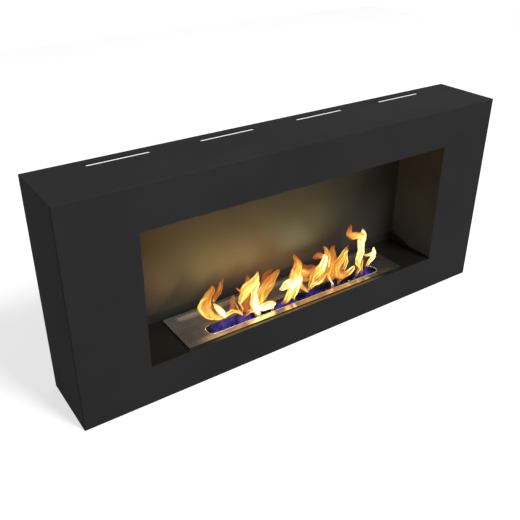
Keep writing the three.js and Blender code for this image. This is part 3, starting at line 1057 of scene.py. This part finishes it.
@dataclass(frozen=True)
class Sheet:
    """Licks that burn together as one curtain.

    lean is how far it leans towards the room as it rises, and shift how far behind the plane of the
    slot it stands, both in millimetres.
    """

    licks: tuple[Lick, ...]
    lean: float = 0.0
    shift: float = 0.0
    ripples: tuple[Point, ...] = ((1.0, 0.19, 0.11), (0.4, 0.46, 0.2))  # size, by z, by x
    lift: Pair = (0.6, 0.27)  # size, by x
    core_falloff: float = 1.3
    edge: float = 1.08
    edge_falloff: float = 1.7
    streak_step: float = 23.0
    streak_power: int = 3
    heat_power: int = 6

    def read(self, x: np.ndarray, z: np.ndarray) -> np.ndarray:
        """The flame at points of the plane of the slot.

        Args:
            x: their x, in millimetres.
            z: their z.

        Returns:
            For each point how deep it lies inside the outline, its heat, and where its streaks are
            read, across and along.
        """
        x = x + sum(size * np.sin(z * by_z + x * by_x) for size, by_z, by_x in self.ripples)
        z = z + self.lift[0] * np.sin(x * self.lift[1])
        inside = np.full(x.shape, -np.inf)
        heat = np.zeros(x.shape)
        weights = np.full(x.shape, TINY)
        streaks = np.zeros((*x.shape, 2))
        rows = np.arange(len(x))
        for number, lick in enumerate(self.licks):
            discs = lick.samples()
            off_x = x[:, None] - discs[:, 0]
            off_z = z[:, None] - discs[:, 1]
            gap = np.hypot(off_x, off_z)
            nearest = np.argmin(gap / discs[:, 2], axis=1)
            gap = gap[rows, nearest]
            disc = discs[nearest]
            ratio = gap / disc[:, 2]
            if lick.inner:
                here = disc[:, 3] * np.exp(-self.core_falloff * ratio**2)
            else:
                here = disc[:, 3] * np.clip((self.edge - ratio) * self.edge_falloff, 0, 1)
                inside = np.maximum(inside, disc[:, 2] - gap)
            across = off_x[rows, nearest] * disc[:, 6] - off_z[rows, nearest] * disc[:, 5]
            weight = here**self.streak_power
            streaks[:, 0] += weight * (across + self.streak_step * number)
            streaks[:, 1] += weight * disc[:, 4]
            weights += weight
            heat = (heat**self.heat_power + here**self.heat_power) ** (1 / self.heat_power)
        return np.column_stack((inside, heat, streaks / weights[:, None]))


# The flames from left to right, each of one sheet or more.
FLAMES: tuple[tuple[Sheet, ...], ...] = (
    (Sheet((
        Lick(((-166, 98, 3), (-179, 103, 6.1), (-192, 112, 9.7), (-202, 124, 12.6), (-205, 137, 13.3),
            (-201, 147, 10.2), (-195, 157, 7.6), (-190, 165, 4.8), (-189, 172, 0.5)), (0.66, 0.44)),
        Lick(((-193, 105, 1.6), (-207, 117, 3.4), (-214, 130, 4.1), (-217, 141, 3.8), (-213, 150, 3.5),
            (-205, 155, 3), (-198, 162, 1.8)), (0.95, 0.6), True),
        Lick(((-186, 100, 1.2), (-193, 114, 4.2), (-197, 127, 3.4), (-198, 135, 1.5)), (0.85, 0.5), True),
        Lick(((-164, 100, 2.4), (-170, 109, 5.6), (-177, 119, 5.8), (-183, 128, 3.6), (-189, 134, 1)),
            (1.2, 0.7)),
    ), 4, 0), Sheet((
        Lick(((-190, 139, 1.2), (-186, 147, 3.4), (-181, 156, 4.5), (-177, 167, 4.5), (-173, 175, 2.9),
            (-171, 184, 0.4)), (0.34, 0.3)),
        Lick(((-188, 140, 0.9), (-182, 151, 1.2), (-175, 164, 1.6), (-172, 173, 1)), (0.85, 0.6), True),
    ), 9, 2), Sheet((
        Lick(((-164, 98, 2.4), (-155, 102, 3.4), (-144, 101, 2.9), (-133, 95, 3), (-126, 87, 0.8)),
            (0.85, 0.6)),
        Lick(((-149, 104, 4.8), (-148, 117, 5), (-147, 128, 3.1), (-145, 137, 0.4)), (0.34, 0.3)),
        Lick(((-154, 104, 1.1), (-154, 115, 0.9), (-154, 126, 0.9), (-150, 132, 1.2), (-146, 136, 0.5)),
            (0.45, 0.4), True),
        Lick(((-132, 96, 1.1), (-139, 109, 1.2), (-142, 121, 1.1), (-144, 134, 0.5)), (0.8, 0.45)),
    ), 0, 0)),
    (Sheet((
        Lick(((-134, 118, 1.9), (-130, 130, 6.8), (-122, 142, 12.4), (-111, 150, 12.2), (-103, 158, 7.6),
            (-99, 165, 3.2), (-98, 172, 0.4)), (0.72, 0.78)),
        Lick(((-130, 141, 3.8), (-138, 148, 2), (-143, 154, 0.4)), (0.55, 0.45)),
        Lick(((-121, 155, 4.8), (-120, 164, 3.5), (-119, 172, 0.5)), (0.42, 0.3)),
        Lick(((-135, 121, 1.4), (-131, 108, 1.5), (-130, 96, 1.2)), (0.75, 0.5)),
        Lick(((-121, 132, 8.2), (-121, 113, 11.3), (-120, 97, 7.8)), (0.4, 0.3)),
        Lick(((-92, 71, 3.6), (-96, 83, 7.4), (-100, 99, 10.2), (-104, 118, 8.1), (-103, 132, 6.1),
            (-99, 147, 3.8), (-98, 165, 1.1)), (1.04, 0.8)),
        Lick(((-107, 90, 2.8), (-115, 90, 2.5), (-123, 82, 0.8)), (0.8, 0.45)),
    ), 5, -1), Sheet((
        Lick(((-85, 100, 6.3), (-80, 115, 12.6), (-70, 128, 14.2), (-59, 138, 9.8), (-49, 147, 4.6),
            (-43, 155, 0.4)), (0.66, 0.42)),
        Lick(((-82, 137, 5.4), (-72, 149, 5.9), (-61, 159, 1.6)), (0.34, 0.25)),
        Lick(((-77, 101, 1.7), (-68, 118, 1.9), (-57, 135, 1.6), (-46, 150, 1.1)), (0.75, 0.5), True),
        Lick(((-87, 108, 1.9), (-80, 125, 1.9), (-70, 141, 1.6), (-59, 154, 0.8)), (0.62, 0.4), True),
    ), -2, 3), Sheet((
        Lick(((-94, 94, 6.4), (-81, 89, 8.2), (-70, 89, 8.8), (-61, 89, 5.2), (-58, 85, 1.2)), (1, 0.95)),
        Lick(((-61, 83, 2.9), (-61, 76, 2), (-62, 70, 0.7)), (0.95, 0.8)),
    ), 2, -2)),
    (Sheet((
        Lick(((-11, 120, 15.6), (-11, 137, 14.1), (-9, 149, 11), (-11, 163, 7.6), (-16, 175, 4.9),
            (-20, 185, 0.8)), (0.78, 0.36)),
        Lick(((-3, 128, 6.8), (-10, 122, 11.6), (-21, 121, 9.8), (-33, 119, 8.1), (-41, 116, 4),
            (-48, 115, 0.7)), (0.98, 0.9)),
        Lick(((-20, 118, 8.5), (-21, 105, 7.5), (-23, 93, 7.6), (-29, 83, 5.5), (-41, 80, 1)),
            (0.95, 0.55)),
        Lick(((-3, 112, 5.5), (-6, 100, 4.5), (-10, 90, 2.8), (-11, 82, 1.7), (-4, 71, 0.7)), (0.9, 0.7)),
        Lick(((1, 114, 4.1), (8, 102, 4.9), (17, 90, 3.9), (23, 85, 1.1)), (0.6, 0.5)),
    ), 6, -1), Sheet((
        Lick(((9, 132, 9.8), (19, 126, 8.6), (28, 125, 6.3), (36, 127, 4), (39, 136, 0.5)), (0.66, 0.46)),
        Lick(((13, 116, 8.6), (20, 112, 5.7), (26, 114, 2.7)), (0.42, 0.36)),
        Lick(((14, 143, 2), (22, 136, 5.3), (31, 136, 4.6), (38, 136, 1)), (0.28, 0.25)),
    ), -2, 2)),
    (Sheet((
        Lick(((27, 96, 2.5), (33, 115, 8.7), (43, 124, 12.9), (51, 132, 10.5), (57, 142, 7.7),
            (57, 155, 3.8)), (0.56, 0.8)),
        Lick(((30, 160, 1.7), (37, 161, 6.5), (46, 159, 6.5), (55, 152, 3.1)), (0.32, 0.5)),
        Lick(((58, 153, 4.9), (57, 143, 5.9), (53, 135, 6.3), (50, 126, 4.6)), (1.2, 0.9), True),
        Lick(((25, 92, 1.1), (27, 107, 1.4), (31, 120, 1.4), (42, 131, 1.4)), (0.95, 0.9), True),
        Lick(((19, 87, 0.9), (39, 97, 2.8), (44, 98, 3.9), (54, 104, 5.3), (64, 113, 2.9)), (0.9, 0.6)),
        Lick(((70, 109, 1.4), (77, 95, 1.6), (83, 83, 1.7), (83, 73, 1.3)), (0.95, 1)),
    ), 5, -1), Sheet((
        Lick(((49, 99, 6.8), (64, 102, 10.3), (73, 112, 10.3), (77, 123, 8.6)), (0.36, 0.4)),
        Lick(((73, 105, 6.9), (74, 123, 9.9), (73, 137, 8.5), (71, 150, 6.4), (67, 164, 3.7),
            (63, 167, 0.7)), (0.5, 0.56)),
        Lick(((84, 95, 7.9), (83, 111, 12.8), (86, 125, 11.7), (82, 141, 9.6), (83, 153, 6.1),
            (86, 164, 1)), (0.5, 0.4)),
        Lick(((72, 125, 1.7), (73, 137, 2.4), (71, 152, 2.4)), (0.85, 0.7), True),
        Lick(((90, 104, 1.6), (88, 119, 1.7), (93, 128, 1.4)), (0.6, 0.5), True),
    ), -2, 2)),
    (Sheet((
        Lick(((101, 101, 7.3), (100, 111, 10.8), (102, 122, 10.8), (105, 132, 7.2), (110, 142, 3.9)),
            (0.36, 0.45)),
        Lick(((138, 105, 0.7), (133, 97, 5.6), (122, 94, 7), (109, 93, 7.3), (94, 100, 9), (91, 114, 9),
            (94, 126, 8.9), (100, 135, 7.5), (106, 144, 5), (110, 151, 2.8), (116, 158, 0.5)),
            (0.56, 0.56)),
        Lick(((138, 105, 0.7), (133, 97, 4.5), (122, 94, 4.1)), (1.25, 0.7), True),
        Lick(((89, 113, 1.4), (91, 127, 1.8), (97, 137, 2.1), (107, 148, 1.8)), (0.7, 0.75), True),
        Lick(((112, 104, 1.3), (114, 114, 2.2), (114, 126, 2.7), (112, 139, 2.7), (114, 149, 1.4)),
            (0.7, 0.82)),
        Lick(((99, 76, 0.7), (103, 82, 1.7), (112, 86, 1.7)), (0.7, 0.6)),
    ), 3, 0),),
    (Sheet((
        Lick(((143, 74, 0.9), (149, 84, 2.1), (154, 93, 2.8), (147, 106, 4.5), (148, 115, 7.1),
            (151, 129, 8.1), (152, 144, 8.6), (152, 158, 9.1), (153, 168, 8.7), (154, 175, 5.4),
            (154, 184, 0.5)), (0.7, 0.95)),
        Lick(((150, 115, 2.6), (153, 129, 4.1), (153, 143, 4.4), (153, 160, 4.4)), (1, 1.1), True),
        Lick(((163, 77, 1.1), (161, 87, 1.5), (157, 99, 2.4), (158, 112, 3.4)), (0.5, 0.7)),
    ), 3, 0), Sheet((
        Lick(((147, 173, 7.3), (140, 174, 8), (131, 177, 7.6), (122, 180, 7.5), (113, 186, 6.4),
            (112, 194, 4.7), (115, 200, 2.3), (117, 206, 0.5)), (0.8, 0.32)),
    ), 6, 0)),
    (Sheet((
        Lick(((163, 117, 5.6), (165, 106, 6), (167, 96, 3.8)), (0.14, 0.1)),
        Lick(((166, 121, 2.2), (178, 117, 2.6), (187, 116, 4.9), (191, 122, 3.6), (190, 132, 0.6)),
            (0.7, 1.15)),
        Lick(((189, 111, 4.9), (184, 104, 3.6), (177, 97, 1.9), (171, 92, 0.6)), (1.1, 0.7)),
    ), 2, 0),),
)


@dataclass(frozen=True)
class FireLight:
    """A strip or dot of the fire's own light in the open slot. The shutter takes it into the plate."""

    name: str
    middle: float
    length: float
    watts: float
    colour: Colour
    spread: float
    lean: float = 0.0
    level: float = 0.0777
    line: float = -0.0375
    width: float = 2 * MM

    def lay(self) -> None:
        """Puts the light in the slot, facing up, or leaning to the right by an angle."""
        place = (self.middle, self.line, self.level)
        lamp = add_lamp(self.name, place, (self.length, self.width), self.watts, self.colour)
        lamp.data.spread = math.radians(self.spread)
        lamp.rotation_euler = (math.pi, math.radians(self.lean), 0)
        lamp.visible_camera = False
        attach(lamp, Body.SHUTTER.value)


@dataclass
class Fire:
    """The flames over the slot.

    Sizes are in millimetres, but for the anchor and the lights, which are in metres.
    """

    plane: float = -38.0  # middle of the open slot
    grid: float = 1.3
    margin: float = 3.0
    flatness: float = 0.6
    deepest: float = 9.0
    lean_above: Pair = (75.0, 90.0)  # where it starts, and how much higher it is whole
    wander_by: Point = (0.03, 0.025, 4.4)  # by x, by z, seed
    wander_size: float = 2.5
    wander_above: Pair = (72.0, 60.0)  # the same
    streaks: tuple[float, ...] = (0.13, 0.035, 0.02, 0.3)  # across, along, by z, by y
    anchor: Point = (0.0, -0.038, 0.067)
    keep: float = 0.02
    lights: tuple[FireLight, ...] = (
        FireLight("fire_light_left", -0.180, 0.0005, 0.30, (1.0, 0.52, 0.18), 110.0, -45.0),
        FireLight("fire_light_second", -0.105, 0.0005, 0.34, (1.0, 0.72, 0.25), 112.0, -45.0),
        FireLight("fire_light_third", -0.055, 0.0005, 0.33, (1.0, 0.70, 0.24), 112.0, -45.0),
        FireLight("fire_light_middle", 0.000, 0.19, 1.22, (1.0, 0.49, 0.14), 174.0),
        FireLight("fire_light_fourth", 0.000, 0.0005, 0.35, (1.0, 0.72, 0.28), 114.0, -30.0),
        FireLight("fire_light_fifth", 0.105, 0.0005, 0.27, (0.93, 1.0, 0.53), 118.0, -15.0),
        FireLight("fire_light_right", 0.145, 0.0005, 0.25, (0.93, 1.0, 0.50), 118.0, -15.0),
        FireLight("fire_light_side", 0.120, 0.002, 0.10, (0.95, 0.95, 0.80), 140.0, 72.0, 0.077),
    )

    def light(self) -> None:
        """Builds each flame, the blue flames at the slot and the fire's own light."""
        for number, sheets in enumerate(FLAMES, start=1):
            maker = MeshMaker(f"flame_{number}")
            for sheet in sheets:
                Curtain(maker, sheet, self).cut()
            self.flatten(maker.piece(FlameGlow(), Body.BURNER))
        self.flatten(Roots(self.plane).build())
        for each in self.lights:
            each.lay()

    def stand(self, sheet: Sheet, x: float, z: float) -> float:
        """Where a sheet stands at a point of the plane of the slot.

        Args:
            sheet: the sheet.
            x: the point's x.
            z: its z.

        Returns:
            Its y.
        """
        by_x, by_z, seed = self.wander_by
        start, over = self.wander_above
        sway = self.wander_size * wander(x * by_x, z * by_z, seed) * clamp((z - start) / over)
        start, over = self.lean_above
        return self.plane + sheet.shift + sway - sheet.lean * max(0.0, (z - start) / over)

    def depth(self, inside: float) -> float:
        """Half the thickness of a flame, from how deep a point lies inside its outline."""
        inside = min(inside, self.deepest)
        return self.flatness * math.sqrt(inside * (2 * self.deepest - inside))

    def flatten(self, piece: bpy.types.Object) -> None:
        """Gives a flame its own mesh, and keeps it from casting shadows.

        Args:
            piece: the flame.
        """
        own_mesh(piece)
        piece.visible_shadow = False


class Curtain:
    """Cuts a sheet of flame out of a grid, as a closed lens with a front and a back."""

    def __init__(self, maker: MeshMaker, sheet: Sheet, fire: Fire) -> None:
        """Reads the sheet on its grid.

        Args:
            maker: the mesh that it is added to.
            sheet: the sheet.
            fire: the fire, with its sizes.
        """
        self.maker = maker
        self.sheet = sheet
        self.fire = fire
        self.made: dict[tuple, tuple[int, int]] = {}
        discs = np.vstack([lick.samples() for lick in sheet.licks])
        low = (discs[:, :2] - discs[:, 2:3]).min(axis=0) - fire.margin
        high = (discs[:, :2] + discs[:, 2:3]).max(axis=0) + fire.margin
        columns = np.arange(low[0], high[0], fire.grid)
        rows = np.arange(low[1], high[1], fire.grid)
        x, z = (each.ravel() for each in np.meshgrid(columns, rows))
        self.net = np.column_stack((x, z, sheet.read(x, z))).reshape(len(rows), len(columns), -1)

    def cut(self) -> None:
        """Adds the faces of the front and of the back."""
        rows, columns, _ = self.net.shape
        inside = self.net[:, :, 2] > 0
        for row in range(rows - 1):
            for column in range(columns - 1):
                corners = ((row, column), (row, column + 1), (row + 1, column + 1), (row + 1, column))
                if not any(inside[corner] for corner in corners):
                    continue
                loop = []
                for here, after in zip(corners, corners[1:] + corners[:1]):
                    if inside[here]:
                        loop.append(self.vertex(here, here))
                    if inside[here] != inside[after]:
                        loop.append(self.vertex(min(here, after), max(here, after)))
                self.maker.faces.append(tuple(front for front, _ in loop))
                self.maker.faces.append(tuple(back for _, back in reversed(loop)))

    def vertex(self, start: tuple[int, int], end: tuple[int, int]) -> tuple[int, int]:
        """A point of the grid, or where the outline crosses a line of it.

        Args:
            start: the point of the grid, or where the line starts.
            end: the same point, or where the line ends.

        Returns:
            The numbers of its points on the front and on the back, which are one on the outline.
        """
        if (start, end) in self.made:
            return self.made[start, end]
        fire = self.fire
        read = self.net[start]
        if start != end:
            share = read[2] / (read[2] - self.net[end][2])
            read = read + (self.net[end] - read) * share
        x, z, inside, heat, across, along = (float(value) for value in read)
        y = fire.stand(self.sheet, x, z)
        half = fire.depth(max(inside, 0.0)) if start == end else 0.0
        sides = [y - half, y + half] if half else [y]
        by_across, by_along, by_z, by_y = fire.streaks
        flows = [Vector((across * by_across, along * by_along, z * by_z + side * by_y)) for side in sides]
        points = [Vector((x, side, z)) * MM for side in sides]
        numbers = self.maker.ring(points, **{HEAT: [heat] * len(sides), FLOW: flows})
        self.made[start, end] = (numbers[0], numbers[-1])
        return self.made[start, end]


@dataclass
class Roots:
    """The low blue flames along the whole slot, in millimetres."""

    plane: float
    first: int = -199
    last: int = 197
    step: int = 2
    sides: int = 20
    end_length: float = 8.0
    base: float = 70.0
    rise: float = 8.0
    height: float = 10.0
    taller_left: float = 5.0
    left_of: Pair = (-80.0, 60.0)  # where that starts, and how much further left it is whole
    flicker: float = 5.0
    flickers: tuple[Point, ...] = ((1.0, 0.045, 2.0), (0.6, 0.14, 7.0))  # share, by x, seed
    sway: float = 1.5
    sway_by: float = 0.03
    sway_seed: float = 3.0
    half_width: float = 7.5
    taper: float = 0.45
    fade: float = 1.6
    faintest: float = 0.1
    lowest: float = 0.05
    spots: tuple[Point, ...] = (  # x, width, share
        (-176, 22, 0.9), (-128, 22, 1.0), (-48, 14, 0.6), (-20, 16, 0.8),
        (34, 18, 0.75), (88, 10, 0.55), (168, 20, 0.9),
    )

    def build(self) -> bpy.types.Object:
        """Makes the flames.

        Returns:
            The piece.
        """
        maker = MeshMaker("flame_roots")
        rings = [self.station(maker, x) for x in range(self.first, self.last + 1, self.step)]
        maker.bar(rings)
        return maker.piece(BlueFlame(), Body.BURNER)

    def station(self, maker: MeshMaker, x: int) -> range:
        """Adds the section at one place along the slot.

        Args:
            maker: the mesh.
            x: the place.

        Returns:
            The numbers of its points.
        """
        lick = sum(share * wander(x * by_x, seed, 0) for share, by_x, seed in self.flickers)
        ends = min(1.0, (x - self.first) / self.end_length, (self.last - x) / self.end_length) ** 0.5
        start, over = self.left_of
        left = self.taller_left * clamp((start - x) / over)
        height = (self.height + self.flicker * lick + left) * max(ends, self.lowest)
        sway = self.sway * wander(x * self.sway_by, 0.0, self.sway_seed)
        glow = sum(share * math.exp(-(((x - at) / wide) ** 2)) for at, wide, share in self.spots)
        points = []
        heats = []
        flows = []
        for side in range(self.sides):
            angle = math.tau * side / self.sides
            up = 0.5 + 0.5 * math.sin(angle)
            out = self.half_width * ends * math.cos(angle) * (1 - self.taper * up)
            z = self.base + (self.rise + height) * up
            points.append(Vector((x, self.plane + sway * up + out, z)) * MM)
            heats.append(min(1.0, self.fade * (1 - up) + self.faintest) * max(ends, self.faintest))
            flows.append(Vector((glow, up, 0)))
        return maker.ring(points, **{HEAT: heats, FLOW: flows})


# ---- Studio


@dataclass
class Studio:
    """Camera, floor, lamp and world."""

    azimuth: float = 0.5923  # to the left of straight ahead
    elevation: float = 0.5042
    camera_place: Point = (-0.6779, -0.8924, 0.7801)
    lens: float = 46.668
    shift: Pair = (0.01276, -0.01665)
    floor_side: float = 5.6
    ambient: float = 0.28
    surround: float = 1.0
    key_place: Point = (1.5, -4.2, 5.2)
    key_aim: Point = (0.0, 0.0, 0.2)
    key_side: float = 1.8
    key_watts: float = 430.0
    clear_layers: int = 48

    def set_up(self) -> None:
        """Makes everything that isn't part of the object."""
        self.camera()
        self.floor()
        self.world()
        self.key_lamp()
        bpy.context.scene.view_settings.view_transform = "Standard"
        bpy.context.scene.cycles.transparent_max_bounces = self.clear_layers

    def camera(self) -> None:
        """Puts the camera where the photograph was taken."""
        data = bpy.data.cameras.new("camera")
        data.lens = self.lens
        data.shift_x, data.shift_y = self.shift
        camera = put("camera", data)
        camera.location = self.camera_place
        camera.rotation_euler = (math.pi / 2 - self.elevation, 0, -self.azimuth)
        bpy.context.scene.camera = camera

    def floor(self) -> None:
        """Lays the paper floor."""
        half = self.floor_side / 2
        corners = [(-half, -half, 0), (half, -half, 0), (half, half, 0), (-half, half, 0)]
        mesh = bpy.data.meshes.new("floor")
        mesh.from_pydata(corners, [], [(0, 1, 2, 3)])
        floor = put("floor", mesh)
        PaperFloor().dress(floor)

    def key_lamp(self) -> None:
        """Hangs the large soft lamp in front."""
        lamp = add_lamp("key_lamp", self.key_place, (self.key_side, self.key_side), self.key_watts, WHITE[:3])
        aim = Vector(self.key_aim) - Vector(self.key_place)
        lamp.rotation_euler = aim.to_track_quat("-Z", "Y").to_euler()

    def world(self) -> None:
        """A white surround to the eye and in gloss, and soft light from all sides."""
        world = bpy.data.worlds.new("studio")
        world.use_nodes = True
        bpy.context.scene.world = world
        tree = world.node_tree
        path = tree.nodes.new("ShaderNodeLightPath")
        soft = tree.nodes["Background"]
        white = tree.nodes.new("ShaderNodeBackground")
        for light, strength in ((soft, self.ambient), (white, self.surround)):
            light.inputs["Color"].default_value = WHITE
            light.inputs["Strength"].default_value = strength
        seen = soft
        for ray in ("Is Camera Ray", "Is Glossy Ray", "Is Transmission Ray"):
            mix = tree.nodes.new("ShaderNodeMixShader")
            tree.links.new(path.outputs[ray], mix.inputs[0])
            tree.links.new(seen.outputs[0], mix.inputs[1])
            tree.links.new(white.outputs[0], mix.inputs[2])
            seen = mix
        tree.links.new(seen.outputs[0], tree.nodes["World Output"].inputs["Surface"])


def main() -> None:
    """Builds and dresses the fireplace in the studio."""
    logging.basicConfig(level=logging.INFO, format="%(message)s")
    Studio().set_up()
    Casing().dress()
    Fixings().dress()
    burner = Burner()
    burner.dress()
    burner.slot_rim()
    burner.rear_step()
    burner.tape()
    burner.wool()
    Fire().light()


if __name__ == "__main__":
    main()
